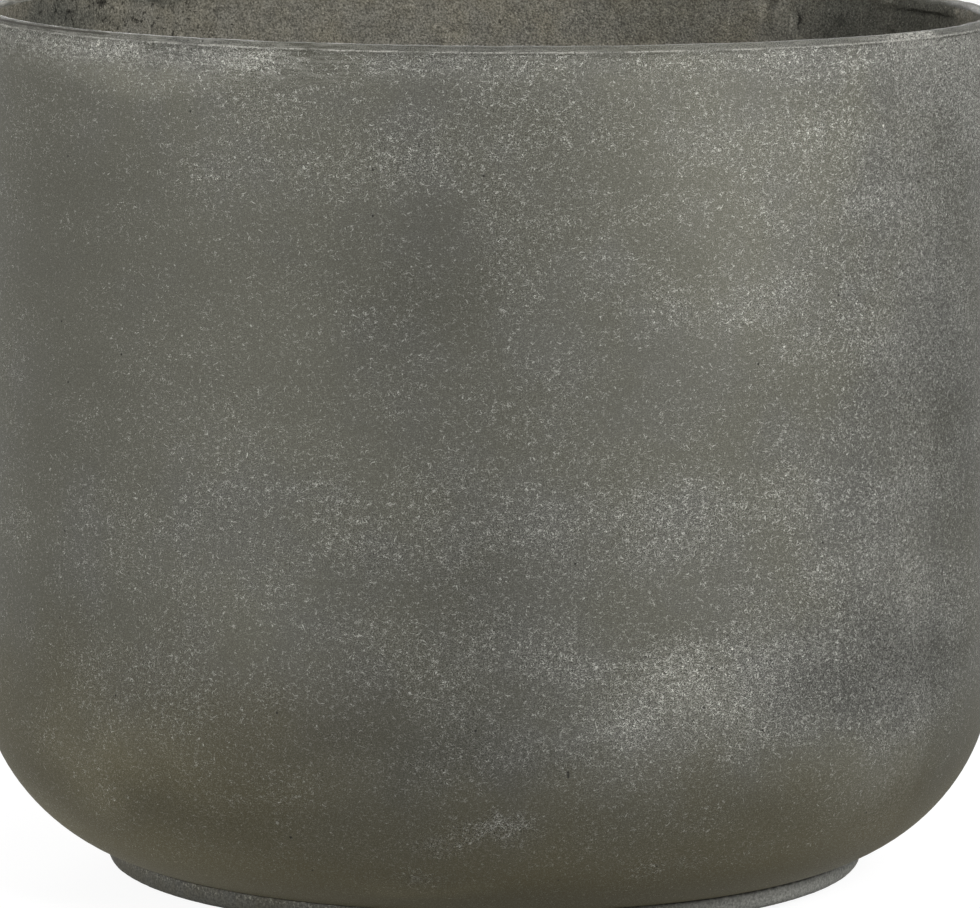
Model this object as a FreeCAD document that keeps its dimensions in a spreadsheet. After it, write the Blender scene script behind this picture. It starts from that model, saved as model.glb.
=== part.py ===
import FreeCAD, Part

import enum
import math
import os

import Sketcher

# A round fibre-cement floor planter: a moulded shell on a bonded foot ring, with a rubber drain plug
# and three rubber floor pads. Millimetres, +Z up. The origin is the middle of the floor plane that
# the pads stand on, and -Y is the front.

DRIVING_SIZES = (
    ("rim_radius", 250.0, "outer radius at the lower edge of the rim bevel"),
    ("belly_swell", 2.0, "how far the belly stands out past the rim"),
    ("shell_height", 413.7, "underside of the shell to the top of the rim"),
    ("corner_radius", 94.0, "outer rounding between wall and underside"),
    ("wall_belly", 10.0, "wall thickness at the belly"),
    ("wall_rim", 8.0, "wall thickness at the rim"),
    ("floor_thickness", 14.0, "thickness of the shell's floor"),
    ("rim_bevel_height", 2.7, "height of the bevel outside the rim"),
    ("rim_bevel_width", 1.4, "width of the bevel outside the rim"),
    ("rim_inner_round", 2.5, "rounding of the rim's inner edge"),
    ("foot_setback", 64.0, "how far the foot stands in from the belly"),
    ("foot_ring_width", 38.0, "width of the foot ring, outside to inside"),
    ("foot_ring_height", 10.0, "height of the foot ring"),
    ("foot_edge_round", 5.0, "rounding of the foot ring's lower outer edge"),
    ("foot_joint_round", 1.2, "rounding that makes the joint line under the shell"),
    ("foot_inner_round", 2.0, "rounding of the foot ring's lower inner edge"),
    ("drain_radius", 15.0, "radius of the drain hole"),
    ("plug_clearance", 0.3, "gap around the top of the plug's shank"),
    ("plug_draft", 1.5, "how much thinner the shank's tip is, on the radius"),
    ("plug_tip_recess", 2.0, "shank's tip above the shell's underside"),
    ("plug_flange_overlap", 7.0, "how far the flange covers the floor round the hole"),
    ("plug_flange_thickness", 4.0, "thickness of the plug's flange"),
    ("plug_flange_round", 1.5, "rounding of the flange's upper edge"),
    ("tab_width", 18.0, "width of the plug's pull tab"),
    ("tab_thickness", 5.0, "thickness of the plug's pull tab"),
    ("tab_height", 17.0, "height of the pull tab above the flange"),
    ("tab_edge_round", 1.2, "rounding of the pull tab's edges"),
    ("pad_radius", 14.0, "radius of a floor pad"),
    ("pad_thickness", 3.0, "thickness of a floor pad"),
    ("pad_edge_round", 0.8, "rounding of a floor pad's lower edge"),
)

# Sizes that follow from the driving ones, as expressions.
BELLY_RADIUS = "(Sizes.rim_radius + Sizes.belly_swell)"
CORNER_MIDDLE = f"({BELLY_RADIUS} - Sizes.corner_radius)"
INNER_CORNER = "(Sizes.corner_radius - Sizes.wall_belly)"
INNER_RIM_RADIUS = "(Sizes.rim_radius - Sizes.wall_rim)"
FOOT_RADIUS = f"({BELLY_RADIUS} - Sizes.foot_setback)"
FOOT_INNER_RADIUS = f"({FOOT_RADIUS} - Sizes.foot_ring_width)"
SHELL_BASE = "(Sizes.pad_thickness + Sizes.foot_ring_height)"
SHANK_RADIUS = "(Sizes.drain_radius - Sizes.plug_clearance)"
SHANK_LENGTH = "(Sizes.floor_thickness - Sizes.plug_tip_recess)"
FLANGE_RADIUS = "(Sizes.drain_radius + Sizes.plug_flange_overlap)"
PAD_CIRCLE_RADIUS = f"({FOOT_RADIUS} - Sizes.foot_ring_width / 2)"

# Where the three pads stand round the foot ring, in degrees from +X.
PAD_ANGLES = {"front": 270, "back_right": 30, "back_left": 150}

# Places on a sketch's line or arc, in the order that sketches number them.
START, END, CENTRE = enum.IntEnum("Place", "start end centre")

# Two lengths closer than this are the same when an edge is looked up.
NEAR = 1e-4

doc = FreeCAD.newDocument("flower_pot")
sheet = doc.addObject("Spreadsheet::Sheet", "Sizes")
for row, (name, length, meaning) in enumerate(DRIVING_SIZES, start=1):
    sheet.set(f"A{row}", name)
    sheet.set(f"B{row}", str(length))
    sheet.setAlias(f"B{row}", name)
    sheet.set(f"C{row}", meaning)
doc.recompute()


def size(name):
    """A driving size from the sheet, in millimetres."""
    return float(sheet.get(name))


def point(across, up):
    """A point of an upright sketch."""
    return FreeCAD.Vector(across, up, 0)


def new_body(label, base_height):
    """An empty body whose own zero height lies at base_height above the floor."""
    body = doc.addObject("PartDesign::Body", label)
    body.Label = label
    body.setExpression("Placement.Base.z", base_height)
    return body


def new_sketch(body, name, plane):
    """A sketch on one of the body's own origin planes."""
    sketch = body.newObject("Sketcher::SketchObject", name)
    support = next(p for p in body.Origin.OriginFeatures if p.Role == plane)
    sketch.AttachmentSupport = [(support, "")]
    sketch.MapMode = "FlatFace"
    return sketch


def drive(sketch, kind, places, length, expression):
    """Adds a dimension that starts at length and follows an expression of the sheet."""
    index = sketch.addConstraint(Sketcher.Constraint(kind, *places, length))
    sketch.setExpression(f"Constraints[{index}]", expression)


def origin():
    """The sketch's own origin: the start of its level axis, which sketches number -1."""
    return (-1, START)


def put_on_level_axis(sketch, line, end):
    """Keeps an end of a line at the sketch's zero height."""
    sketch.addConstraint(Sketcher.Constraint("PointOnObject", line, end, -1))


def put_on_upright_axis(sketch, line, end):
    """Keeps a place of a line or arc on the sketch's upright axis, which sketches number -2."""
    sketch.addConstraint(Sketcher.Constraint("PointOnObject", line, end, -2))


def place_point(sketch, place, across, up):
    """Fixes a point of the sketch across from and up from its origin, each (start length, expression)."""
    if across:
        drive(sketch, "DistanceX", (*origin(), *place), *across)
    if up:
        drive(sketch, "DistanceY", (*origin(), *place), *up)


def join(sketch, *ends):
    """Makes each pair of ends one point."""
    for first, second in ends:
        sketch.addConstraint(Sketcher.Constraint("Coincident", *first, *second))


def turn(body, sketch, name):
    """Turns a half profile once round the body's upright axis."""
    turned = body.newObject("PartDesign::Revolution", name)
    turned.Profile = sketch
    turned.ReferenceAxis = (sketch, ["V_Axis"])
    turned.Angle = 360
    doc.recompute()
    return turned


def round_edges(body, feature, name, wanted, radius):
    """Rounds the feature's edges that wanted picks, by a radius that is an expression."""
    edges = [f"Edge{n}" for n, edge in enumerate(feature.Shape.Edges, start=1) if wanted(edge)]
    fillet = body.newObject("PartDesign::Fillet", name)
    fillet.Base = (feature, edges)
    fillet.setExpression("Radius", radius)
    doc.recompute()
    return fillet


def hoop(radius, height):
    """Picks a round edge by its radius and its height in the body."""

    def wanted(edge):
        curve = edge.Curve
        if not isinstance(curve, Part.Circle):
            return False
        return abs(curve.Radius - radius) < NEAR and abs(curve.Center.z - height) < NEAR

    return wanted


def make_pot_shell():
    """The moulded vessel: flat underside, round corner, slightly tapered wall, bevelled rim, drain hole."""
    body = new_body("pot_shell", SHELL_BASE)
    rim = size("rim_radius")
    top = size("shell_height")
    belly = rim + size("belly_swell")
    corner = size("corner_radius")
    inner_corner = corner - size("wall_belly")
    middle = belly - corner
    foot = belly - size("foot_setback")
    corner_height = math.sqrt(corner**2 - (foot - middle) ** 2)
    floor = size("floor_thickness")
    inner_height = floor + inner_corner
    bevel_foot = top - size("rim_bevel_height")
    bevel_top = rim - size("rim_bevel_width")
    inner_rim = rim - size("wall_rim")
    toward_viewer = FreeCAD.Vector(0, 0, 1)

    profile = new_sketch(body, "shell_profile", "XZ_Plane")
    underside = profile.addGeometry(Part.LineSegment(point(0, 0), point(foot, 0)))
    outer_circle = Part.Circle(point(middle, corner_height), toward_viewer, corner)
    outer_arc = profile.addGeometry(
        Part.ArcOfCircle(outer_circle, math.atan2(-corner_height, foot - middle), 0)
    )
    outer_wall = profile.addGeometry(
        Part.LineSegment(point(belly, corner_height), point(rim, bevel_foot))
    )
    bevel = profile.addGeometry(Part.LineSegment(point(rim, bevel_foot), point(bevel_top, top)))
    rim_land = profile.addGeometry(Part.LineSegment(point(bevel_top, top), point(inner_rim, top)))
    inner_wall = profile.addGeometry(
        Part.LineSegment(point(inner_rim, top), point(middle + inner_corner, inner_height))
    )
    inner_circle = Part.Circle(point(middle, inner_height), toward_viewer, inner_corner)
    inner_arc = profile.addGeometry(Part.ArcOfCircle(inner_circle, -math.pi / 2, 0))
    inner_floor = profile.addGeometry(Part.LineSegment(point(middle, floor), point(0, floor)))
    axis_line = profile.addGeometry(Part.LineSegment(point(0, floor), point(0, 0)))

    join(
        profile,
        ((underside, START), origin()),
        ((underside, END), (outer_arc, START)),
        ((outer_wall, END), (bevel, START)),
        ((bevel, END), (rim_land, START)),
        ((rim_land, END), (inner_wall, START)),
        ((inner_floor, END), (axis_line, START)),
        ((axis_line, END), origin()),
    )
    for arc, arc_end, line, line_end in (
        (outer_arc, END, outer_wall, START),
        (inner_arc, END, inner_wall, END),
        (inner_arc, START, inner_floor, START),
    ):
        profile.addConstraint(Sketcher.Constraint("Tangent", arc, arc_end, line, line_end))
    for level_line in (underside, rim_land, inner_floor):
        profile.addConstraint(Sketcher.Constraint("Horizontal", level_line))
    put_on_upright_axis(profile, axis_line, START)

    drive(profile, "Radius", (outer_arc,), corner, "Sizes.corner_radius")
    drive(profile, "Radius", (inner_arc,), inner_corner, INNER_CORNER)
    place_point(profile, (underside, END), (foot, FOOT_RADIUS), None)
    place_point(profile, (outer_arc, CENTRE), (middle, CORNER_MIDDLE), None)
    place_point(profile, (inner_arc, CENTRE), (middle, CORNER_MIDDLE), None)
    place_point(profile, (inner_floor, END), None, (floor, "Sizes.floor_thickness"))
    place_point(
        profile,
        (bevel, START),
        (rim, "Sizes.rim_radius"),
        (bevel_foot, "Sizes.shell_height - Sizes.rim_bevel_height"),
    )
    place_point(
        profile,
        (bevel, END),
        (bevel_top, "Sizes.rim_radius - Sizes.rim_bevel_width"),
        (top, "Sizes.shell_height"),
    )
    place_point(profile, (rim_land, END), (inner_rim, INNER_RIM_RADIUS), None)

    vessel = turn(body, profile, "vessel")
    rounded = round_edges(
        body,
        vessel,
        "rim_inner_edge",
        hoop(inner_rim, top),
        "min(Sizes.rim_inner_round; 0.45 * (Sizes.wall_rim - Sizes.rim_bevel_width))",
    )

    hole_sketch = new_sketch(body, "drain_sketch", "XY_Plane")
    hole_circle = hole_sketch.addGeometry(
        Part.Circle(point(0, 0), toward_viewer, size("drain_radius"))
    )
    join(hole_sketch, ((hole_circle, CENTRE), origin()))
    drive(hole_sketch, "Radius", (hole_circle,), size("drain_radius"), "Sizes.drain_radius")
    drain_hole = body.newObject("PartDesign::Pocket", "drain_hole")
    drain_hole.Profile = hole_sketch
    drain_hole.Type = "Length"
    drain_hole.Reversed = True
    drain_hole.setExpression("Length", "Sizes.floor_thickness")
    doc.recompute()
    drilled = rounded.Shape.Volume - drain_hole.Shape.Volume
    expected = math.pi * size("drain_radius") ** 2 * floor
    if abs(drilled - expected) > NEAR * expected:
        raise RuntimeError("the drain hole doesn't go through the floor")
    return body


def make_foot_ring():
    """The cast ring bonded under the shell, as wide outside as the flat of the shell's underside."""
    body = new_body("foot_ring", "Sizes.pad_thickness")
    outer = size("rim_radius") + size("belly_swell") - size("foot_setback")
    inner = outer - size("foot_ring_width")
    height = size("foot_ring_height")
    profile = new_sketch(body, "ring_profile", "XZ_Plane")
    corners = (point(inner, 0), point(outer, 0), point(outer, height), point(inner, height))
    lower, outside, upper, inside = (
        profile.addGeometry(Part.LineSegment(corners[i], corners[(i + 1) % len(corners)]))
        for i in range(len(corners))
    )
    join(
        profile,
        ((lower, END), (outside, START)),
        ((outside, END), (upper, START)),
        ((upper, END), (inside, START)),
        ((inside, END), (lower, START)),
    )
    for level_line in (lower, upper):
        profile.addConstraint(Sketcher.Constraint("Horizontal", level_line))
    for plumb_line in (outside, inside):
        profile.addConstraint(Sketcher.Constraint("Vertical", plumb_line))
    put_on_level_axis(profile, lower, START)
    place_point(profile, (lower, START), (inner, FOOT_INNER_RADIUS), None)
    place_point(
        profile,
        (outside, END),
        (outer, FOOT_RADIUS),
        (height, "Sizes.foot_ring_height"),
    )
    ring = turn(body, profile, "ring")
    lower_outer = round_edges(
        body,
        ring,
        "lower_outer_edge",
        hoop(outer, 0),
        "min(Sizes.foot_edge_round; 0.7 * Sizes.foot_ring_height)",
    )
    joint_line = round_edges(
        body,
        lower_outer,
        "joint_line",
        hoop(outer, height),
        "min(Sizes.foot_joint_round; 0.2 * Sizes.foot_ring_height)",
    )
    round_edges(
        body,
        joint_line,
        "lower_inner_edge",
        hoop(inner, 0),
        "min(Sizes.foot_inner_round; 0.7 * Sizes.foot_ring_height)",
    )
    return body


def make_drain_plug():
    """The rubber stopper: tapered shank in the drain hole, flange on the shell's floor, upright pull tab."""
    body = new_body("drain_plug", f"{SHELL_BASE} + Sizes.floor_thickness")
    shank = size("drain_radius") - size("plug_clearance")
    tip = shank - size("plug_draft")
    length = size("floor_thickness") - size("plug_tip_recess")
    flange = size("drain_radius") + size("plug_flange_overlap")
    flange_top = size("plug_flange_thickness")
    profile = new_sketch(body, "plug_profile", "XZ_Plane")
    outline = (
        point(0, -length),
        point(tip, -length),
        point(shank, 0),
        point(flange, 0),
        point(flange, flange_top),
        point(0, flange_top),
    )
    tip_face, shank_side, flange_seat, flange_edge, flange_face, axis_line = (
        profile.addGeometry(Part.LineSegment(outline[i], outline[(i + 1) % len(outline)]))
        for i in range(len(outline))
    )
    join(
        profile,
        ((tip_face, END), (shank_side, START)),
        ((shank_side, END), (flange_seat, START)),
        ((flange_seat, END), (flange_edge, START)),
        ((flange_edge, END), (flange_face, START)),
        ((flange_face, END), (axis_line, START)),
        ((axis_line, END), (tip_face, START)),
    )
    for level_line in (tip_face, flange_seat, flange_face):
        profile.addConstraint(Sketcher.Constraint("Horizontal", level_line))
    profile.addConstraint(Sketcher.Constraint("Vertical", flange_edge))
    put_on_level_axis(profile, flange_seat, START)
    for axis_end in (START, END):
        put_on_upright_axis(profile, axis_line, axis_end)
    place_point(profile, (tip_face, END), (tip, f"{SHANK_RADIUS} - Sizes.plug_draft"), None)
    drive(profile, "DistanceY", (tip_face, END, *origin()), length, SHANK_LENGTH)
    place_point(profile, (flange_seat, START), (shank, SHANK_RADIUS), None)
    place_point(
        profile,
        (flange_edge, END),
        (flange, FLANGE_RADIUS),
        (flange_top, "Sizes.plug_flange_thickness"),
    )
    stopper = turn(body, profile, "stopper")
    flange_round = round_edges(
        body,
        stopper,
        "flange_upper_edge",
        hoop(flange, flange_top),
        "min(Sizes.plug_flange_round; 0.6 * Sizes.plug_flange_thickness)",
    )

    half_width = size("tab_width") / 2
    tab_top = flange_top + size("tab_height")
    shoulder = tab_top - half_width
    root = flange_top / 2
    tab_sketch = new_sketch(body, "tab_sketch", "XZ_Plane")
    bottom = tab_sketch.addGeometry(
        Part.LineSegment(point(-half_width, root), point(half_width, root))
    )
    right = tab_sketch.addGeometry(
        Part.LineSegment(point(half_width, root), point(half_width, shoulder))
    )
    crown_circle = Part.Circle(point(0, shoulder), FreeCAD.Vector(0, 0, 1), half_width)
    crown = tab_sketch.addGeometry(Part.ArcOfCircle(crown_circle, 0, math.pi))
    left = tab_sketch.addGeometry(
        Part.LineSegment(point(-half_width, shoulder), point(-half_width, root))
    )
    join(
        tab_sketch,
        ((bottom, END), (right, START)),
        ((left, END), (bottom, START)),
    )
    tab_sketch.addConstraint(Sketcher.Constraint("Tangent", right, END, crown, START))
    tab_sketch.addConstraint(Sketcher.Constraint("Tangent", crown, END, left, START))
    tab_sketch.addConstraint(Sketcher.Constraint("Horizontal", bottom))
    tab_sketch.addConstraint(Sketcher.Constraint("Vertical", right))
    put_on_upright_axis(tab_sketch, crown, CENTRE)
    drive(tab_sketch, "Radius", (crown,), half_width, "Sizes.tab_width / 2")
    place_point(tab_sketch, (bottom, START), None, (root, "Sizes.plug_flange_thickness / 2"))
    place_point(
        tab_sketch,
        (crown, CENTRE),
        None,
        (shoulder, "Sizes.plug_flange_thickness + Sizes.tab_height - Sizes.tab_width / 2"),
    )
    tab = body.newObject("PartDesign::Pad", "pull_tab")
    tab.Profile = tab_sketch
    tab.Midplane = True
    tab.setExpression("Length", "Sizes.tab_thickness")
    doc.recompute()
    if tab.Shape.Volume <= flange_round.Shape.Volume:
        raise RuntimeError("the pull tab adds nothing to the plug")

    def on_tab_outline(edge):
        places = [vertex.Point for vertex in edge.Vertexes]
        face_y = size("tab_thickness") / 2
        on_a_face = len({round(p.y / face_y, 3) for p in places}) == 1 and abs(
            abs(places[0].y) - face_y
        ) < NEAR
        return on_a_face and max(p.z for p in places) > flange_top + NEAR

    round_edges(
        body,
        tab,
        "tab_edges",
        on_tab_outline,
        "min(Sizes.tab_edge_round; 0.4 * Sizes.tab_thickness)",
    )
    return body


def make_floor_pad(place, angle):
    """A rubber disc stuck under the middle of the foot ring's width, at an angle round the pot."""
    body = new_body(f"floor_pad_{place}", "0")
    body.setExpression("Placement.Base.x", f"{PAD_CIRCLE_RADIUS} * cos({angle} deg)")
    body.setExpression("Placement.Base.y", f"{PAD_CIRCLE_RADIUS} * sin({angle} deg)")
    outline = new_sketch(body, f"pad_{place}_outline", "XY_Plane")
    circle = outline.addGeometry(
        Part.Circle(point(0, 0), FreeCAD.Vector(0, 0, 1), size("pad_radius"))
    )
    join(outline, ((circle, CENTRE), origin()))
    drive(outline, "Radius", (circle,), size("pad_radius"), "Sizes.pad_radius")
    disc = body.newObject("PartDesign::Pad", f"pad_{place}_disc")
    disc.Profile = outline
    disc.setExpression("Length", "Sizes.pad_thickness")
    doc.recompute()
    round_edges(
        body,
        disc,
        f"pad_{place}_edge",
        hoop(size("pad_radius"), 0),
        "min(Sizes.pad_edge_round; 0.6 * Sizes.pad_thickness)",
    )
    return body


bodies = [make_pot_shell(), make_foot_ring(), make_drain_plug()]
bodies += [make_floor_pad(place, angle) for place, angle in PAD_ANGLES.items()]
doc.recompute()

failed = [o.Name for o in doc.Objects if {"Invalid", "Error"} & set(o.State)]
if failed:
    raise RuntimeError(f"these objects failed: {failed}")
for body in bodies:
    if body.Shape.isNull() or not body.Shape.isValid() or len(body.Shape.Solids) != 1:
        raise RuntimeError(f"{body.Label} is not one valid solid")

os.makedirs("parts", exist_ok=True)
for body in bodies:
    body.Shape.exportStep(f"parts/{body.Label}.step")
    box = body.Shape.optimalBoundingBox()
    print(
        f"{body.Label}: volume {body.Shape.Volume / 1000:.1f} cm3,"
        f" x {box.XMin:.2f} to {box.XMax:.2f}, y {box.YMin:.2f} to {box.YMax:.2f},"
        f" z {box.ZMin:.2f} to {box.ZMax:.2f}"
    )
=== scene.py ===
import math

import bpy
import numpy as np
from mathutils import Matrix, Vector


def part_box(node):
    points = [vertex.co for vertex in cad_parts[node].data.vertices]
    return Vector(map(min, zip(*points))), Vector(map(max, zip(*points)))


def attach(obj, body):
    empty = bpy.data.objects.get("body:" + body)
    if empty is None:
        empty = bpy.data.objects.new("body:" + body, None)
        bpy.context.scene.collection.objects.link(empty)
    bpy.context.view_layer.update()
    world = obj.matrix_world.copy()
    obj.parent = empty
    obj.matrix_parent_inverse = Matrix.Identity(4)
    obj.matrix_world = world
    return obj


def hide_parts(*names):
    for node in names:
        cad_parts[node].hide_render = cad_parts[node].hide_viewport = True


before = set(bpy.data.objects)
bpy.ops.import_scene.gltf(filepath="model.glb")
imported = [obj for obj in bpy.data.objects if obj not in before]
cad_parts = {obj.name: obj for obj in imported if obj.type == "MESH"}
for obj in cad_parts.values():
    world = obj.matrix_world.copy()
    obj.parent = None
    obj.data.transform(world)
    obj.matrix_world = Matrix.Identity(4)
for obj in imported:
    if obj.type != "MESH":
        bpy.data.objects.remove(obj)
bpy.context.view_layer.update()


# The pot shell. One laminate of fibre cement, pressed by hand against the inside of a turned mould, so
# the outside is smooth and clouded with pale fibres and the inside keeps the marks of the trowel.
# The rim is cut level, its outer edge is rubbed to a narrow bevel, and the drain hole is drilled last.
shell_low, shell_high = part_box("pot_shell")
mould_slack = 0.0003
belly_radius = shell_high.x - mould_slack
underside = shell_low.z
rim_top = shell_high.z - mould_slack
corner_radius = 0.0937
corner_middle = belly_radius - corner_radius
corner_height = 0.1021
foot_line = corner_middle + math.sqrt(corner_radius**2 - (corner_height - underside) ** 2)
floor_thickness = 0.014
inner_floor = underside + floor_thickness
inner_corner_radius = 0.084
rim_radius = 0.2500
bevel_height = 0.0027
bevel_width = 0.0014
bevel_ease = 0.0004
bevel_turn = 0.0006
lip_height = rim_top - bevel_height
lip_bead = ((-0.0001, -0.0032, 26), (-0.0003, -0.0014, 1), (0.0001, -0.0006, 1), (0.0002, 0.0, 1))
bead_top = 0.0005
inner_radius = 0.2420
inner_round = 0.0025
mouth_edge = inner_radius + inner_round
groove_from_edge = 0.0015
groove_half = 0.0007
near_rim = 0.388
mid_wall = 0.308
drain_radius = 0.0150
drain_chamfer = 0.0008
drain_surround = 0.030
skin_radius = 0.25
same_point = 0.00001


def start_profile(name, radius, height, way):
    """Begins a piece as one point of its profile, right of the axis. The trail keeps every point of the
    profile: its radius, its height, and the way along the profile to it."""
    bpy.ops.object.select_all(action="DESELECT")
    bpy.ops.mesh.primitive_plane_add(size=0.01)
    piece = bpy.context.object
    piece.name = name
    piece.data.name = name
    bpy.ops.object.mode_set(mode="EDIT")
    bpy.ops.mesh.select_all(action="SELECT")
    bpy.ops.mesh.merge(type="CENTER")
    bpy.ops.transform.translate(value=(radius, 0, height))
    return piece, [(radius, height, way)]


def draw_line(trail, radius, height, parts=1):
    """Carries the profile on in a straight line, in equal parts."""
    across = (radius - trail[-1][0]) / parts
    rise = (height - trail[-1][1]) / parts
    for _ in range(parts):
        bpy.ops.mesh.extrude_region_move(TRANSFORM_OT_translate={"value": (across, 0, rise)})
        last = trail[-1]
        trail.append((last[0] + across, last[1] + rise, last[2] + math.hypot(across, rise)))


def draw_arc(trail, radius, height, degrees, parts):
    """Carries the profile on round a centre; a positive turn goes from right towards up."""
    turn = math.radians(degrees)
    bpy.ops.mesh.spin(steps=parts, angle=turn, center=(radius, 0, height), axis=(0, 1, 0))
    across, rise, way = trail[-1]
    reach = math.hypot(across - radius, rise - height)
    start = math.atan2(rise - height, across - radius)
    for part in range(1, parts + 1):
        angle = start + turn * part / parts
        way += reach * abs(turn) / parts
        trail.append((radius + reach * math.cos(angle), height + reach * math.sin(angle), way))


def turn_profile(piece, trail, steps):
    """Turns the profile about the axis, closes it, and lays a map over it in metres: across is the way
    round from the front, to the right, and up is the way along the profile."""
    bpy.ops.object.mode_set(mode="OBJECT")
    mesh = piece.data
    along = mesh.attributes.new("along", "FLOAT", "POINT")
    for point, mark in zip(mesh.vertices, along.data):
        mark.value = min(trail, key=lambda t: math.hypot(t[0] - point.co.x, t[1] - point.co.z))[2]
    lathe = piece.modifiers.new("lathe", "SCREW")
    lathe.steps = steps
    lathe.render_steps = steps
    lathe.use_merge_vertices = True
    lathe.merge_threshold = same_point
    bpy.ops.object.modifier_apply(modifier=lathe.name)
    bpy.ops.object.mode_set(mode="EDIT")
    bpy.ops.mesh.select_all(action="SELECT")
    bpy.ops.mesh.remove_doubles(threshold=same_point)
    bpy.ops.mesh.normals_make_consistent(inside=False)
    bpy.ops.object.mode_set(mode="OBJECT")
    places = np.empty(len(mesh.vertices) * 3)
    mesh.vertices.foreach_get("co", places)
    places = places.reshape(-1, 3)
    ways = np.empty(len(mesh.vertices))
    mesh.attributes["along"].data.foreach_get("value", ways)
    corners = np.empty(len(mesh.loops), dtype=int)
    mesh.loops.foreach_get("vertex_index", corners)
    sizes = np.empty(len(mesh.polygons), dtype=int)
    mesh.polygons.foreach_get("loop_total", sizes)
    middles = np.empty(len(mesh.polygons) * 3)
    mesh.polygons.foreach_get("center", middles)
    middles = np.repeat(middles.reshape(-1, 3), sizes, axis=0)
    face_angle = np.arctan2(middles[:, 0], -middles[:, 1])
    angle = np.arctan2(places[corners, 0], -places[corners, 1])
    angle = face_angle + (angle - face_angle + math.pi) % (2 * math.pi) - math.pi
    flat = np.column_stack([angle * skin_radius, ways[corners]])
    mesh.uv_layers.new(name="skin").data.foreach_set("uv", flat.ravel())
    mesh.attributes.remove(mesh.attributes["along"])
    return places, ways


def weigh(piece, name, weights):
    """Keeps a weight for every point of the piece under a name, apart from those near nothing."""
    near_nothing = 0.001
    group = piece.vertex_groups.new(name=name)
    for point in np.flatnonzero(weights > near_nothing):
        group.add([int(point)], float(weights[point]), "REPLACE")


def fade(values, start, length):
    """A rise from 0 to 1 that begins at a start and takes a length."""
    return np.clip((values - start) / length, 0, 1)


def push(piece, name, grain, depth, reach, group, stretch=None):
    """Pushes the surface in and out along its normals by soft clouds of one grain size."""
    lumps = bpy.data.textures.new(name, "CLOUDS")
    lumps.noise_scale = grain
    lumps.noise_depth = depth
    relief = piece.modifiers.new(name, "DISPLACE")
    relief.texture = lumps
    relief.texture_coords = "LOCAL"
    relief.strength = reach
    relief.mid_level = 0.5
    relief.vertex_group = group
    guide = None
    if stretch:
        guide = bpy.data.objects.new(name, None)
        bpy.context.scene.collection.objects.link(guide)
        guide.scale = stretch
        bpy.context.view_layer.update()
        relief.texture_coords = "OBJECT"
        relief.texture_coords_object = guide
    bpy.context.view_layer.objects.active = piece
    bpy.ops.object.modifier_apply(modifier=relief.name)
    if guide:
        bpy.data.objects.remove(guide)


corner_turn = math.degrees(math.asin((corner_height - underside) / corner_radius))
corner_way = corner_height - corner_radius * math.radians(corner_turn)
shell_start = drain_radius + drain_chamfer
shell, trail = start_profile("planter_shell", shell_start, underside, corner_way - foot_line + shell_start)
draw_line(trail, drain_surround, underside, parts=2)
draw_line(trail, foot_line, underside, parts=8)
draw_arc(trail, corner_middle, corner_height, degrees=corner_turn, parts=24)
for step_out, step_up, parts in lip_bead:
    draw_line(trail, rim_radius + step_out, lip_height + step_up, parts)
lip_way = trail[-1][2]
draw_line(trail, rim_radius, lip_height + bead_top)
draw_line(trail, rim_radius - bevel_width, rim_top - bevel_ease, parts=2)
bevel_way = trail[-1][2]
draw_line(trail, rim_radius - bevel_width - bevel_turn, rim_top)
draw_line(trail, mouth_edge + groove_from_edge + groove_half, rim_top)
draw_line(trail, mouth_edge + groove_from_edge, rim_top)
groove_way = trail[-1][2]
draw_line(trail, mouth_edge + groove_from_edge - groove_half, rim_top)
draw_line(trail, mouth_edge, rim_top)
draw_arc(trail, mouth_edge, rim_top - inner_round, degrees=90, parts=5)
inside_way = trail[-1][2]
draw_line(trail, inner_radius, near_rim, parts=18)
draw_line(trail, inner_radius, mid_wall, parts=20)
draw_line(trail, inner_radius, inner_floor + inner_corner_radius, parts=22)
draw_arc(trail, inner_radius - inner_corner_radius, inner_floor + inner_corner_radius, degrees=-90, parts=14)
draw_line(trail, drain_surround, inner_floor, parts=14)
draw_line(trail, shell_start, inner_floor, parts=2)
draw_line(trail, drain_radius, inner_floor - drain_chamfer)
draw_line(trail, drain_radius, underside + drain_chamfer)
draw_line(trail, shell_start, underside)
places, ways = turn_profile(shell, trail, steps=480)

out = np.hypot(places[:, 0], places[:, 1])
high = places[:, 2]
flange_rest = 0.026
rim = fade(high, rim_top - 0.006, 0.003)
weigh(shell, "inside", fade(ways, inside_way - 0.003, 0.004) * fade(out, flange_rest, 0.020))
weigh(shell, "rim", rim)
weigh(shell, "outside", (ways < lip_way) * fade(high, underside, 0.030) * (1 - rim))
push(shell, "mould waves", grain=0.11, depth=1, reach=0.0008, group="outside")
push(shell, "trowel lumps", grain=0.022, depth=2, reach=0.0022, group="inside")
push(shell, "trowel strokes", grain=1.0, depth=2, reach=0.0016, group="inside", stretch=(0.012, 0.012, 0.07))
push(shell, "rim lumps", grain=0.014, depth=2, reach=0.0007, group="rim")


def mark(piece, name, places, ways, marks, reach):
    """Raises, or with a reach below nothing sinks, oval marks. A mark is its place right of the front and
    along the profile, its half width and half length, its lean across per way along, and its strength."""
    roundness = 0.7
    across = np.arctan2(places[:, 0], -places[:, 1]) * skin_radius
    weights = np.zeros(len(ways))
    for right, way, half_width, half_length, lean, strength in marks:
        off = ways - way
        distance = np.hypot((across - right - lean * off) / half_width, off / half_length)
        weights = np.maximum(weights, strength * np.clip(1 - distance, 0, 1) ** roundness)
    weigh(piece, name, weights)
    relief = piece.modifiers.new(name, "DISPLACE")
    relief.strength = reach
    relief.mid_level = 0.0
    relief.vertex_group = name
    bpy.context.view_layer.objects.active = piece
    bpy.ops.object.modifier_apply(modifier=relief.name)


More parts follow.
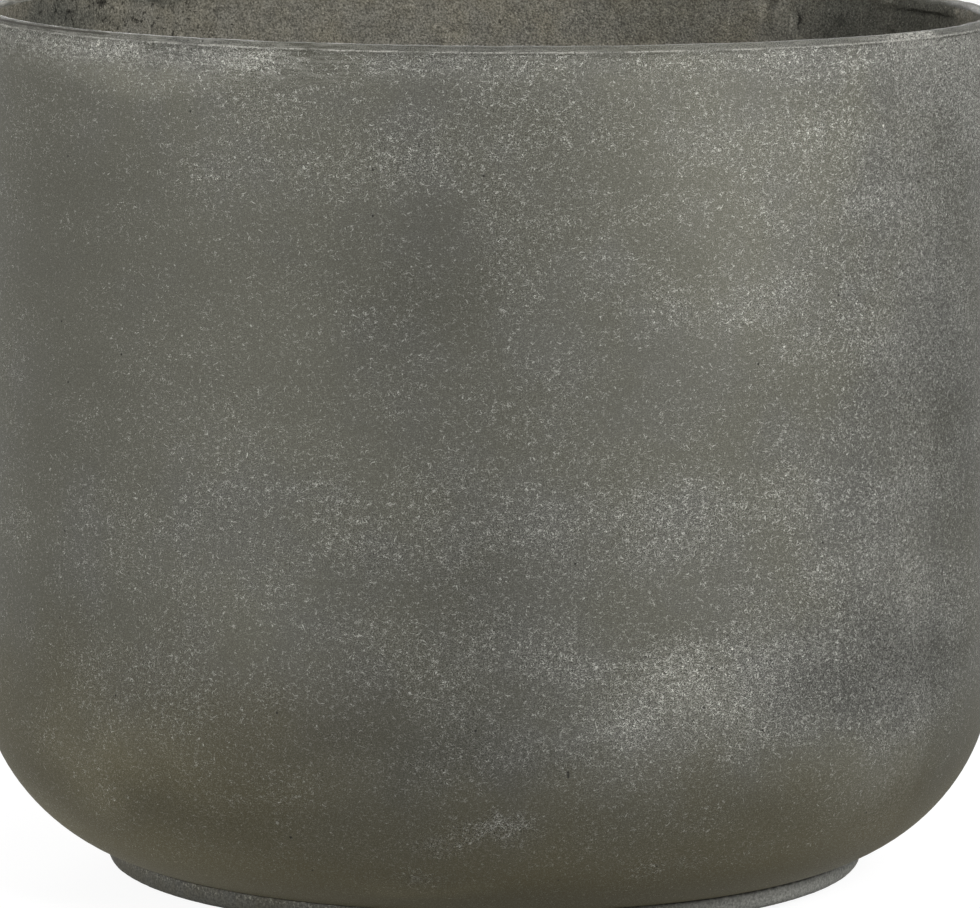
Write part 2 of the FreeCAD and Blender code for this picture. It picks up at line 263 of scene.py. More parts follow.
ridge_marks = (
    (0.619, inside_way + 0.012, 0.006, 0.011, 0.25, 1.0),
    (0.630, inside_way + 0.016, 0.005, 0.014, -0.4, 0.7),
    (0.575, inside_way + 0.014, 0.007, 0.012, 0.5, 0.5),
    (0.500, inside_way + 0.0030, 0.050, 0.0025, 0.0, 0.8),
    (0.448, inside_way + 0.0040, 0.020, 0.0035, 0.0, 0.9),
    (-0.560, inside_way + 0.012, 0.020, 0.004, 0.0, 0.5),
    (-0.700, inside_way + 0.020, 0.030, 0.005, 0.0, 0.4),
    (-0.300, inside_way + 0.030, 0.012, 0.030, 0.6, 0.7),
    (0.200, inside_way + 0.040, 0.014, 0.035, -0.5, 0.7),
)
gouge_marks = (
    (0.604, inside_way + 0.0165, 0.0035, 0.0065, -0.2, 1.0),
    (0.612, inside_way + 0.009, 0.004, 0.010, 0.3, 0.7),
    (0.497, inside_way + 0.0062, 0.055, 0.0022, 0.0, 0.9),
    (0.545, inside_way + 0.0040, 0.030, 0.0020, 0.0, 0.5),
    (-0.545, inside_way + 0.006, 0.012, 0.004, 0.0, 0.8),
    (-0.575, inside_way + 0.007, 0.010, 0.003, 0.0, 0.7),
    (-0.120, inside_way + 0.050, 0.006, 0.020, 0.4, 0.8),
)
mark(shell, "trowel ridges", places, ways, ridge_marks, reach=0.0016)
mark(shell, "gouges", places, ways, gouge_marks, reach=-0.0016)
groove_marks = ((-0.275, groove_way, 0.085, 0.0018, 0.0, 1.0), (-0.440, groove_way, 0.120, 0.0016, 0.0, 0.7))
mark(shell, "rim groove", places, ways, groove_marks, reach=-0.0010)


def put(tree, kind, sockets=None, **settings):
    """Adds a node, makes its settings, and sets or links its sockets."""
    made = tree.nodes.new(kind)
    for name, value in settings.items():
        setattr(made, name, value)
    for name, value in (sockets or {}).items():
        if isinstance(value, bpy.types.NodeSocket):
            tree.links.new(value, made.inputs[name])
        else:
            made.inputs[name].default_value = value
    return made


def start_finish(name):
    """A new material with its shader and output only."""
    made = bpy.data.materials.new(name)
    made.use_nodes = True
    return made, made.node_tree, made.node_tree.nodes["Principled BSDF"]


def skin_map(tree):
    """The piece's own map in metres, with its two directions: round the piece and along the profile."""
    skin = put(tree, "ShaderNodeUVMap", uv_map="skin").outputs["UV"]
    axes = put(tree, "ShaderNodeSeparateXYZ", {0: skin}).outputs
    return skin, axes[0], axes[1]


def object_place(tree):
    """The place in the piece's own space."""
    return put(tree, "ShaderNodeTexCoord").outputs["Object"]


def end_finish(tree, shader, colour, relief, strength, depth):
    """Gives the shader its colour and its fine relief."""
    bump = put(tree, "ShaderNodeBump", {"Height": relief, "Strength": strength, "Distance": depth})
    tree.links.new(bump.outputs[0], shader.inputs["Normal"])
    tree.links.new(colour, shader.inputs["Base Color"])


def work(tree, operation, *values):
    """One sum on values or sockets."""
    return put(tree, "ShaderNodeMath", dict(enumerate(values)), operation=operation).outputs[0]


def times(tree, product, *others):
    """Values or sockets multiplied together."""
    for other in others:
        product = work(tree, "MULTIPLY", product, other)
    return product


def between(tree, amount, first, second):
    """A value that goes from the first to the second with an amount."""
    return put(tree, "ShaderNodeMix", {0: amount, 2: first, 3: second}).outputs[0]


def vectors(tree, operation, *values):
    """One sum on vectors."""
    return put(tree, "ShaderNodeVectorMath", dict(enumerate(values)), operation=operation).outputs[0]


def ramp(tree, value, low, high, start=0.0, end=1.0):
    """A smooth rise from start to end while the value goes from low to high."""
    sockets = {"Value": value, "From Min": low, "From Max": high, "To Min": start, "To Max": end}
    made = put(tree, "ShaderNodeMapRange", sockets, interpolation_type="SMOOTHSTEP")
    return made.outputs["Result"]


def clouds(tree, where, grain, detail=2.0, roughness=0.5, flat=False, colour=False):
    """Soft noise whose lumps are about one grain wide, in metres."""
    sockets = {"Vector": where, "Scale": 1 / grain, "Detail": detail, "Roughness": roughness}
    made = put(tree, "ShaderNodeTexNoise", sockets, noise_dimensions="2D" if flat else "3D")
    return made.outputs["Color" if colour else "Fac"]


def colours(tree, amount, first, second, way="MIX"):
    """One colour over another."""
    made = put(tree, "ShaderNodeMix", {0: amount, 6: first, 7: second}, data_type="RGBA", blend_type=way)
    return made.outputs[2]


def shade(tree, colour, level):
    """A colour made lighter or darker by a level."""
    grey = put(tree, "ShaderNodeCombineColor", {0: level, 1: level, 2: level}).outputs[0]
    return colours(tree, 1.0, colour, grey, "MULTIPLY")


def lay(tree, where, across=1.0, up=1.0, move=(0.0, 0.0), turn=0.0):
    """The map stretched, turned or moved."""
    sockets = {"Vector": where, "Location": (*move, 0), "Rotation": (0, 0, turn), "Scale": (across, up, 1)}
    return put(tree, "ShaderNodeMapping", sockets).outputs["Vector"]


def stir(tree, where, noise, reach):
    """The map with its points moved about by a noise."""
    shift = vectors(tree, "SUBTRACT", noise, (0.5, 0.5, 0.5))
    return vectors(tree, "ADD", where, vectors(tree, "MULTIPLY", shift, (reach, reach, 0)))


def soft_ovals(tree, where, level, ovals):
    """A level that soft ovals raise or lower. An oval is its place right of the front and up, its
    half width and half height, and what it adds in its middle."""
    for right, height, half_width, half_height, amount in ovals:
        move = (-right / half_width, -height / half_height)
        centred = lay(tree, where, 1 / half_width, 1 / half_height, move)
        reach = put(tree, "ShaderNodeVectorMath", {0: centred}, operation="LENGTH").outputs["Value"]
        level = work(tree, "ADD", level, ramp(tree, reach, 1.0, 0.0, 0.0, amount))
    return level


def scatter(tree, where, cell):
    """Points strewn over the map, one to a cell, and three draws for each."""
    points = put(tree, "ShaderNodeTexVoronoi", {"Vector": where, "Scale": 1 / cell}, voronoi_dimensions="2D")
    return points.outputs, put(tree, "ShaderNodeSeparateColor", {0: points.outputs["Color"]}).outputs


def strokes(tree, where, cell, half_length, half_width, crook, share):
    """Fine curved strokes, one at most in each cell of the map, in a share of the cells."""
    points, draws = scatter(tree, where, cell)
    offset = vectors(tree, "SUBTRACT", where, points["Position"])
    turn = times(tree, draws[0], math.pi)
    turned = put(tree, "ShaderNodeVectorRotate", {"Vector": offset, "Angle": turn}, rotation_type="Z_AXIS")
    axes = put(tree, "ShaderNodeSeparateXYZ", {0: turned.outputs[0]}).outputs
    bow = work(tree, "MULTIPLY_ADD", draws[1], crook, -crook / 2)
    bent = work(tree, "MULTIPLY_ADD", times(tree, axes[0], axes[0]), bow, axes[1])
    body = ramp(tree, work(tree, "ABSOLUTE", bent), half_width, half_width * 0.3)
    ends = ramp(tree, work(tree, "ABSOLUTE", axes[0]), half_length, half_length * 0.5)
    left = work(tree, "DIVIDE", work(tree, "SUBTRACT", share, draws[2]), share)
    return times(tree, body, ends, ramp(tree, left, 0.0, 0.8))


cement, tree, shader = start_finish("hazed_cement")
skin, right, up = skin_map(tree)
place = object_place(tree)
drifted = stir(tree, skin, clouds(tree, place, 0.05, 3.0, colour=True), 0.06)
belly = put(tree, "ShaderNodeSeparateXYZ", {0: drifted}).outputs[1]
left_side = times(tree, ramp(tree, right, -0.65, -0.45), ramp(tree, right, 0.0, -0.12))
right_side = times(tree, ramp(tree, right, 0.65, 0.45), ramp(tree, right, 0.13, 0.23))

# How thickly the pale fibres lie. A veil of broad stains is thicker under the rim and thin on the lower
# belly; it gathers into drifts and small clusters, and the rubbed rim is bald but for one rough stretch.
veil_ovals = (
    (0.26, 0.30, 0.18, 0.30, 0.36),
    (0.27, 0.40, 0.10, 0.10, 0.25),
    (0.05, 0.205, 0.35, 0.035, 0.20),
    (0.10, 0.125, 0.11, 0.060, 0.36),
    (0.22, 0.135, 0.12, 0.065, 0.40),
    (-0.20, 0.31, 0.14, 0.12, -0.20),
    (0.00, 0.38, 0.08, 0.05, 0.12),
    (0.00, 0.160, 0.09, 0.06, 0.15),
    (-0.088, 0.416, 0.035, 0.024, -0.30),
)
veil = soft_ovals(tree, drifted, 0.30, veil_ovals)
under_rim = ramp(tree, up, lip_way - 0.016, lip_way - 0.006)
veil = work(tree, "ADD", veil, times(tree, under_rim, ramp(tree, left_side, 0.0, 1.0, 0.14, 0.34)))
wisps = clouds(tree, lay(tree, place, 0.35, 0.35), 0.034, 4.0, 0.6)
veil = work(tree, "ADD", veil, ramp(tree, wisps, 0.30, 0.70, -0.08, 0.08))
veil = times(tree, veil, ramp(tree, belly, 0.030, 0.118, 0.42, 1.0))
scuff_ovals = (
    (0.004, 0.063, 0.034, 0.013, 0.60),
    (-0.020, 0.052, 0.030, 0.010, 0.35),
    (-0.034, 0.028, 0.018, 0.012, 0.45),
    (0.100, 0.036, 0.060, 0.012, 0.25),
    (0.000, 0.095, 0.060, 0.020, 0.20),
)
scuffed = stir(tree, skin, clouds(tree, place, 0.012, 3.0, colour=True), 0.020)
veil = soft_ovals(tree, scuffed, veil, scuff_ovals)
drifts = clouds(tree, place, 0.030, 3.0)
drifting = work(tree, "MULTIPLY_ADD", drifts, 0.5, work(tree, "ADD", veil, -0.25))
haze = ramp(tree, drifting, 0.0, 1.0, 0.10, 0.90)
clusters = clouds(tree, skin, 0.0042, 4.0, 0.62, flat=True)
heaps = work(tree, "MULTIPLY_ADD", clusters, 2.1, work(tree, "ADD", drifting, -1.05))
heaps = ramp(tree, heaps, 0.15, 1.10)
rim_band = ramp(tree, up, lip_way - 0.0004, lip_way + 0.0006)
rough_rim = times(tree, ramp(tree, right, 0.185, 0.225), ramp(tree, right, 0.255, 0.248))
bald = times(tree, rim_band, work(tree, "MULTIPLY_ADD", rough_rim, -1.0, 0.9))
hairy = work(tree, "SUBTRACT", 1.0, bald)
crowd = work(tree, "MULTIPLY_ADD", times(tree, heaps, hairy), 0.60, times(tree, haze, hairy, 0.50))

# The fibres themselves. They are combed across, and slant at the right: fine fuzz with dark pores in it,
# curled hairs with gaps, and a few longer threads. A fine grain lies under them.
bent = stir(tree, skin, clouds(tree, skin, 0.004, 2.0, flat=True, colour=True), 0.003)
combed = lay(tree, bent, 0.72, 1.15)
slanted = lay(tree, lay(tree, bent, turn=-0.8), 0.60, 1.20)
fuzz_grain = 0.00050
combed_fuzz = clouds(tree, combed, fuzz_grain, 1.0, 0.6, flat=True)
slanted_fuzz = clouds(tree, slanted, fuzz_grain, 1.0, 0.6, flat=True)
fuzz = between(tree, right_side, combed_fuzz, slanted_fuzz)
tufts = times(tree, ramp(tree, fuzz, 0.49, 0.74), crowd)
pores = times(tree, ramp(tree, fuzz, 0.50, 0.30), crowd)
curl_grain = 0.00095
combed_curls = clouds(tree, combed, curl_grain, 2.0, flat=True)
slanted_curls = clouds(tree, slanted, curl_grain, 2.0, flat=True)
curls = between(tree, ramp(tree, right_side, 0.45, 0.55), combed_curls, slanted_curls)
curls = work(tree, "ABSOLUTE", work(tree, "SUBTRACT", curls, 0.5))
gaps = clouds(tree, lay(tree, combed, move=(0.37, 0.21)), 0.0015, 3.0, 0.7, flat=True)
gaps = ramp(tree, work(tree, "MULTIPLY_ADD", crowd, 0.17, gaps), 0.56, 0.65)
hairs = times(tree, ramp(tree, curls, 0.038, 0.006), gaps, work(tree, "SQRT", crowd))
fibre_half_width = 0.00013
threads = strokes(tree, combed, 0.0026, 0.0014, fibre_half_width, 600.0, times(tree, crowd, 0.35))
fibres = work(tree, "MAXIMUM", times(tree, threads, 0.55), hairs)
grain = work(tree, "SUBTRACT", clouds(tree, skin, 0.00062, 0.0, flat=True), 0.5)
grain = work(tree, "MULTIPLY_ADD", grain, ramp(tree, haze, 0.15, 0.65, 0.60, 2.1), 1.0)

# The ground: olive where it is bare, greyer under the veil, brown low on the belly and from higher up at the
# left, with broad light and dark ovals that are partly stains and partly painted light and shade. Streaked
# smears lie under the rim and on it; salt, crumbs and fibres lie over all and take on the stains and the
# painted shading.
bare_olive = (0.118, 0.1158, 0.093, 1)
veiled_grey = (0.120, 0.1187, 0.106, 1)
belly_brown = (0.114, 0.101, 0.057, 1)
smear_pale = (0.27, 0.265, 0.235, 1)
fibre_pale = (0.90, 0.90, 0.82, 1)
hue = work(tree, "ADD", veil, ramp(tree, clouds(tree, place, 0.05, 4.0, 0.6), 0.35, 0.65, -0.2, 0.2))
colour = colours(tree, ramp(tree, hue, 0.1, 0.9), bare_olive, veiled_grey)
browner_left = times(tree, left_side, ramp(tree, belly, 0.172, 0.065, 0.0, 0.85))
brown = work(tree, "MAXIMUM", ramp(tree, belly, 0.114, 0.018), browner_left)
colour = colours(tree, brown, colour, belly_brown)
# Light and dark ovals, partly stains and partly painted light and shade, such as the lighter upper right.
stain_and_shading_ovals = (
    (-0.01, 0.270, 0.13, 0.360, -0.25),
    (-0.01, 0.165, 0.11, 0.070, -0.13),
    (-0.02, 0.112, 0.10, 0.050, -0.13),
    (0.12, 0.375, 0.11, 0.100, 0.26),
    (0.13, 0.315, 0.06, 0.070, 0.12),
    (0.26, 0.270, 0.11, 0.280, -0.24),
    (0.22, 0.138, 0.11, 0.042, -0.23),
    (0.090, 0.117, 0.060, 0.045, 0.22),
    (-0.18, 0.395, 0.12, 0.050, 0.12),
    (-0.20, 0.413, 0.13, 0.022, 0.24),
    (-0.20, 0.082, 0.08, 0.042, 0.44),
    (0.21, 0.082, 0.10, 0.042, 0.31),
    (0.21, 0.128, 0.12, 0.036, -0.14),
    (0.235, 0.098, 0.06, 0.040, -0.14),
    (0.26, 0.235, 0.11, 0.100, -0.16),
    (0.24, 0.360, 0.07, 0.140, -0.10),
    (-0.04, 0.098, 0.17, 0.026, -0.14),
    (-0.12, 0.120, 0.11, 0.040, -0.14),
    (-0.04, 0.318, 0.07, 0.050, -0.12),
    (0.05, 0.417, 0.14, 0.012, 0.12),
    (-0.17, 0.415, 0.09, 0.018, 0.18),
    (-0.095, 0.416, 0.035, 0.032, -0.20),
    (-0.035, 0.024, 0.06, 0.016, 0.28),
)
# The level of stains and painted shading: darker towards the bottom of the belly, partly as painted shade,
# and lighter again on the underside by the foot.
broad = times(
    tree,
    soft_ovals(tree, drifted, 0.97, stain_and_shading_ovals),
    ramp(tree, belly, 0.060, 0.185, 0.74, 1.0),
    ramp(tree, up, 0.070, 0.022, 1.0, 1.55),
    ramp(tree, wisps, 0.30, 0.70, 0.96, 1.04),
    work(tree, "MULTIPLY_ADD", rim_band, -0.20, 1.0),
)
tone = times(tree, broad, grain, work(tree, "MULTIPLY_ADD", pores, -0.65, 1.0))
colour = shade(tree, colour, tone)
streaks = clouds(tree, lay(tree, skin, 0.12, 1.0), 0.0016, 3.0, 0.65, flat=True)
smear_band = ramp(tree, up, lip_way - 0.024, lip_way - 0.008)
smear_band = times(tree, smear_band, ramp(tree, left_side, 0.2, 1.0, 0.15, 0.55))
rim_streaks = times(tree, rim_band, ramp(tree, left_side, 0.0, 1.0, 0.22, 0.35))
smears = times(tree, ramp(tree, streaks, 0.42, 0.70), work(tree, "MAXIMUM", smear_band, rim_streaks))
colour = colours(tree, smears, colour, smear_pale)
fleck = shade(tree, fibre_pale, broad)
salt = ramp(tree, clouds(tree, combed, 0.00060, 2.0, 0.7, flat=True), 0.55, 0.78)
salt = times(tree, salt, ramp(tree, belly, 0.080, 0.160, 0.22, 0.08))
crumb_share = ramp(tree, belly, 0.060, 0.150, 0.30, 0.12)
crumbs = strokes(tree, combed, 0.0021, 0.0005, fibre_half_width, 900.0, crumb_share)
salt = work(tree, "MAXIMUM", salt, times(tree, crumbs, 0.30))
colour = colours(tree, salt, colour, fleck)
tuft_cover = times(tree, tufts, ramp(tree, right_side, 0.0, 1.0, 0.32, 0.30))
colour = colours(tree, tuft_cover, colour, fleck)
colour = colours(tree, fibres, colour, fleck)

# The lip: a pale chipped line that wavers along the bevel's lower edge, a broken painted shadow line under
# it, spatter on the rough stretch at the right, and a painted shade line along the bevel's upper edge at the
# left.
lip_shadow = (0.050, 0.048, 0.039, 1)
lip_wear = (0.50, 0.49, 0.44, 1)
groove_shade_dark = (0.035, 0.032, 0.026, 1)
wavering = work(tree, "MULTIPLY_ADD", clouds(tree, skin, 0.006, 3.0, flat=True), 0.0009, lip_way - 0.00045)
off_lip = work(tree, "ABSOLUTE", work(tree, "SUBTRACT", up, wavering))
chips = ramp(tree, clouds(tree, skin, 0.0016, 4.0, 0.7, flat=True), 0.34, 0.58)
runs = ramp(tree, clouds(tree, skin, 0.018, 3.0, flat=True), 0.36, 0.58, 0.25, 1.0)
worn = times(tree, ramp(tree, off_lip, 0.00055, 0.0001), chips, runs)
worn = times(tree, worn, ramp(tree, left_side, 0.0, 1.0, 0.60, 0.95))
under_lip = times(
    tree,
    ramp(tree, up, lip_way - 0.0017, lip_way - 0.0012),
    ramp(tree, up, lip_way - 0.0004, lip_way - 0.0010),
    ramp(tree, clouds(tree, skin, 0.012, 4.0, 0.6, flat=True), 0.40, 0.60),
    ramp(tree, right_side, 0.90, 1.0, 0.35, 0.70),
)
spatter = times(
    tree,
    ramp(tree, clouds(tree, bent, 0.0015, 4.0, 0.7, flat=True), 0.48, 0.62),
    rough_rim,
    ramp(tree, up, lip_way - 0.006, lip_way + 0.001, 0.15, 0.8),
)
worn = work(tree, "MAXIMUM", worn, spatter)
colour = colours(tree, under_lip, colour, lip_shadow)
colour = colours(tree, worn, colour, lip_wear)
# Painted shade: a dark line along the bevel's upper edge at the left.
off_edge = work(tree, "ABSOLUTE", work(tree, "SUBTRACT", up, bevel_way - 0.0004))
groove_shade_line = ramp(tree, off_edge, 0.0008, 0.0003)
groove_shade_line = times(tree, groove_shade_line, ramp(tree, right, -0.185, -0.205), left_side, 0.75)
colour = colours(tree, groove_shade_line, colour, groove_shade_dark)

# Air holes: the few that stand out, one of them a slit made of three, and small ones scattered about.
# They are painted dark as the shade inside them.
hole_shade_dark = (0.012, 0.011, 0.010, 1)
hole_spacing = 0.045
air_holes = (
    (0.1075, 0.1374, 0.0010),
    (0.1035, 0.1191, 0.0011),
    (0.0386, 0.0893, 0.0009),
    (0.0385, 0.0904, 0.0010),
    (0.0383, 0.0915, 0.0009),
    (-0.0965, 0.0530, 0.0011),
)
pits = 0.0
for hole_right, hole_height, hole_radius in air_holes:
    ends = {0: skin, 1: (hole_right, hole_height, 0)}
    away = put(tree, "ShaderNodeVectorMath", ends, operation="DISTANCE").outputs["Value"]
    pits = work(tree, "MAXIMUM", pits, ramp(tree, away, hole_radius, hole_radius * 0.3))
points, draws = scatter(tree, skin, hole_spacing)
away = times(tree, points["Distance"], hole_spacing)
few = times(tree, ramp(tree, away, 0.0008, 0.0003), work(tree, "GREATER_THAN", draws[0], 0.75))
pits = work(tree, "MAXIMUM", pits, few)
colour = colours(tree, times(tree, pits, 0.85), colour, hole_shade_dark)
relief = work(tree, "MULTIPLY_ADD", fibres, 0.5, times(tree, fuzz, crowd))
relief = work(tree, "MULTIPLY_ADD", pits, -3.0, relief)
end_finish(tree, shader, colour, relief, strength=0.5, depth=0.00025)
tree.links.new(ramp(tree, crowd, 0.0, 0.8, 0.70, 0.9), shader.inputs["Roughness"])
shader.inputs["Specular IOR Level"].default_value = 0.15

# The inside and the underside: sandy cement with zones of painted shade, the marks of the trowel, and small
# holes.
rough_cement, tree, shader = start_finish("trowelled_cement")
skin, right, _ = skin_map(tree)
place = object_place(tree)
sand_brown = (0.157, 0.147, 0.116, 1)
sand_grey = (0.153, 0.147, 0.124, 1)
shaded_grey = (0.130, 0.132, 0.112, 1)
grain_pale = (0.40, 0.38, 0.32, 1)
pock_shade_dark = (0.014, 0.013, 0.011, 1)
sand = clouds(tree, place, 0.0011, 2.5, 0.6)
hue = ramp(tree, clouds(tree, place, 0.025, 4.0, 0.6), 0.35, 0.65)
colour = colours(tree, hue, sand_brown, sand_grey)
# Painted shade: dark zones on the inner wall at the right and near the rim at the left, with one lighter
# painted patch.
painted_shading_ovals = (
    (-0.500, inside_way + 0.012, 0.085, 0.018, -0.42),
    (-0.590, inside_way + 0.004, 0.040, 0.008, -0.30),
    (0.580, inside_way + 0.010, 0.055, 0.060, -0.35),
    (0.510, inside_way + 0.012, 0.085, 0.080, -0.36),
    (0.420, inside_way + 0.020, 0.110, 0.120, -0.20),
    (0.690, inside_way + 0.012, 0.070, 0.040, -0.18),
    (0.440, inside_way + 0.006, 0.030, 0.020, 0.30),
)
wandering = stir(tree, skin, clouds(tree, place, 0.02, 3.0, colour=True), 0.03)
painted_shading = soft_ovals(tree, wandering, 1.0, painted_shading_ovals)
colour = colours(tree, ramp(tree, painted_shading, 1.0, 0.4), colour, shaded_grey)
# Painted light and shade on the trowel marks: dark in the gouges and lighter on the ridges beside them. The
# same ovals also raise and sink the fine relief.
gouge_shading_ovals = (
    (0.6045, inside_way + 0.0160, 0.0022, 0.0075, -0.85),
    (0.6100, inside_way + 0.0150, 0.0045, 0.0090, 0.45),
    (0.6200, inside_way + 0.0060, 0.0030, 0.0080, -0.55),
    (0.6290, inside_way + 0.0110, 0.0050, 0.0100, 0.35),
    (0.5720, inside_way + 0.0130, 0.0040, 0.0060, -0.45),
    (0.5300, inside_way + 0.0180, 0.0060, 0.0040, -0.40),
    (0.4970, inside_way + 0.0058, 0.0600, 0.0016, -0.40),
    (0.5330, inside_way + 0.0024, 0.0120, 0.0020, 0.90),
    (0.4560, inside_way + 0.0022, 0.0090, 0.0024, 1.10),
    (-0.5150, inside_way + 0.0090, 0.0080, 0.0030, -0.80),
    (-0.5450, inside_way + 0.0060, 0.0060, 0.0028, -0.80),
    (-0.5850, inside_way + 0.0060, 0.0080, 0.0025, -0.70),
)
ragged = stir(tree, skin, clouds(tree, place, 0.0045, 4.0, 0.65, colour=True), 0.008)
gouge_relief_and_shading = soft_ovals(tree, ragged, 1.0, gouge_shading_ovals)
patches = ramp(tree, clouds(tree, place, 0.006, 3.0, 0.6), 0.3, 0.7, 0.86, 1.14)
tone = times(tree, painted_shading, patches, gouge_relief_and_shading, ramp(tree, sand, 0.25, 0.75, 0.48, 1.62))
colour = shade(tree, colour, tone)
grains = ramp(tree, clouds(tree, place, 0.0012, 1.0), 0.60, 0.76)
colour = colours(tree, times(tree, grains, painted_shading, 0.6), colour, grain_pale)
# Small holes and pocks, painted dark as the shade inside them.
holes = ramp(tree, clouds(tree, place, 0.0034, 4.0, 0.7), 0.34, 0.28)
pocked = times(tree, ramp(tree, right, -0.43, -0.47), ramp(tree, right, -0.66, -0.60))
pocks = ramp(tree, clouds(tree, place, 0.0032, 4.0, 0.7), 0.42, 0.34)
holes = work(tree, "MAXIMUM", holes, times(tree, pocks, pocked, 0.8))
colour = colours(tree, times(tree, holes, 0.8), colour, pock_shade_dark)
relief = work(tree, "MULTIPLY_ADD", holes, -1.0, work(tree, "ADD", sand, gouge_relief_and_shading))
end_finish(tree, shader, colour, relief, strength=1.0, depth=0.0010)
shader.inputs["Roughness"].default_value = 0.9
shader.inputs["Specular IOR Level"].default_value = 0.10

shell.data.materials.append(cement)
shell.data.materials.append(rough_cement)
edge_slack = 0.0001
for face in shell.data.polygons:
    furthest = max(ways[point] for point in face.vertices)
    if furthest > inside_way + edge_slack or furthest < corner_way + edge_slack:
        face.material_index = 1
bpy.ops.object.select_all(action="DESELECT")
shell.select_set(True)
bpy.ops.object.shade_smooth_by_angle(angle=math.radians(40))
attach(shell, "pot")
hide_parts("pot_shell")


# The foot ring. A low ring of coarser, sandier cement, cast in its own mould and bonded under the shell
# with a line of mortar; its lower edge is rounded. Painted light makes it paler at the right and at its left
# tip.
foot_low, foot_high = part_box("foot_ring")
lump_slack = 0.0002
foot_radius = foot_high.x - lump_slack
foot_inner = 0.1502
foot_round = 0.005
joint_round = 0.0006
foot_inner_round = 0.002
foot, trail = start_profile("planter_foot", foot_inner + foot_inner_round, foot_low.z, 0.0)
draw_line(trail, foot_radius - foot_round, foot_low.z, parts=6)
draw_arc(trail, foot_radius - foot_round, foot_low.z + foot_round, degrees=90, parts=9)
draw_line(trail, foot_radius, foot_high.z - joint_round, parts=4)
joint_way = trail[-1][2]
draw_arc(trail, foot_radius - joint_round, foot_high.z - joint_round, degrees=90, parts=4)
draw_line(trail, foot_inner + foot_inner_round, foot_high.z, parts=6)
draw_arc(trail, foot_inner + foot_inner_round, foot_high.z - foot_inner_round, degrees=90, parts=4)
draw_line(trail, foot_inner, foot_low.z + foot_inner_round, parts=3)
draw_arc(trail, foot_inner + foot_inner_round, foot_low.z + foot_inner_round, degrees=90, parts=4)
places, ways = turn_profile(foot, trail, steps=640)
out = np.hypot(places[:, 0], places[:, 1])
bare_side = fade(out, foot_radius - foot_round, foot_round)
bonded_edge = fade(places[:, 2], foot_high.z - 0.001, 0.001)
weigh(foot, "sides", bare_side * (1 - bonded_edge))
push(foot, "cast lumps", grain=0.006, depth=2, reach=0.0006, group="sides")

sandy_cement, tree, shader = start_finish("sandy_cement")
_, right, way = skin_map(tree)
place = object_place(tree)
foot_brown = (0.100, 0.095, 0.076, 1)
foot_grey = (0.108, 0.107, 0.094, 1)
painted_light_pale = (0.300, 0.300, 0.274, 1)
speck_pale = (0.42, 0.41, 0.34, 1)
crease_shade_dark = (0.022, 0.021, 0.017, 1)
sand = clouds(tree, place, 0.0013, 3.0, 0.7)
hue = ramp(tree, clouds(tree, place, 0.02, 4.0, 0.6), 0.35, 0.65)
colour = colours(tree, hue, foot_brown, foot_grey)
# Painted light: the ring is made paler at the right and at its left tip, where the belly shades it.
painted_light = times(tree, ramp(tree, right, 0.05, 0.26), ramp(tree, right, 0.40, 0.70, 1.0, 0.5))
painted_light = work(tree, "MAXIMUM", painted_light, ramp(tree, right, -0.33, -0.39, 0.0, 0.5))
colour = colours(tree, painted_light, colour, painted_light_pale)
colour = shade(tree, colour, ramp(tree, sand, 0.28, 0.72, 0.60, 1.45))
upper = ramp(tree, way, joint_way - 0.0042, joint_way - 0.0008)
specks = ramp(tree, clouds(tree, place, 0.0011, 2.0, 0.6), 0.54, 0.66)
specks = times(tree, specks, upper, ramp(tree, painted_light, 0.6, 0.1), 0.6)
colour = colours(tree, specks, colour, speck_pale)
# Painted shade: a broken dark line along the ring's top, in the crease under the belly, stronger at the
# right.
crease_shade = times(
    tree,
    ramp(tree, way, joint_way - 0.0008, joint_way + 0.0003),
    ramp(tree, clouds(tree, place, 0.0026, 2.0), 0.38, 0.54),
    ramp(tree, right, -0.05, 0.20, 0.0, 0.6),
    ramp(tree, right, 0.75, 0.45),
)
colour = colours(tree, crease_shade, colour, crease_shade_dark)
end_finish(tree, shader, colour, sand, strength=0.7, depth=0.0005)
shader.inputs["Roughness"].default_value = 0.9
shader.inputs["Specular IOR Level"].default_value = 0.25
foot.data.materials.append(sandy_cement)
bpy.ops.object.select_all(action="DESELECT")
foot.select_set(True)
bpy.ops.object.shade_smooth_by_angle(angle=math.radians(50))
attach(foot, "pot")
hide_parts("foot_ring")


# The drain plug. A stopper of black rubber, moulded in one piece: a tapered shank that is pressed into the
# drain hole from inside, a flange that lies on the floor round the hole, and a ribbed tab to pull it by.
plug_low, plug_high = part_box("drain_plug")
plug_slack = 0.0001
flange_radius = plug_high.x - plug_slack
flange_thickness = 0.0040
flange_top = inner_floor + flange_thickness
flange_under_round = 0.0008
flange_round = 0.0015
flange_dish = 0.0005
flange_dish_radius = 0.0158
flange_dish_edge = 0.0168
shank_radius = 0.0146
tip_radius = 0.0131
tip_round = 0.0010
tip_dish = 0.0006
tip_dish_radius = 0.0098
tip_dish_edge = 0.0106
plug, trail = start_profile("rubber_plug", 0.0, plug_low.z + tip_dish, 0.0)
draw_line(trail, tip_dish_radius, plug_low.z + tip_dish, parts=3)
draw_line(trail, tip_dish_edge, plug_low.z)
draw_line(trail, tip_radius - tip_round, plug_low.z)
draw_arc(trail, tip_radius - tip_round, plug_low.z + tip_round, degrees=90, parts=5)
draw_line(trail, shank_radius, inner_floor, parts=4)
draw_line(trail, flange_radius - flange_under_round, inner_floor, parts=3)
draw_arc(trail, flange_radius - flange_under_round, inner_floor + flange_under_round, degrees=90, parts=4)
draw_line(trail, flange_radius, flange_top - flange_round)
draw_arc(trail, flange_radius - flange_round, flange_top - flange_round, degrees=90, parts=5)
draw_line(trail, flange_dish_edge, flange_top, parts=2)
draw_line(trail, flange_dish_radius, flange_top - flange_dish)
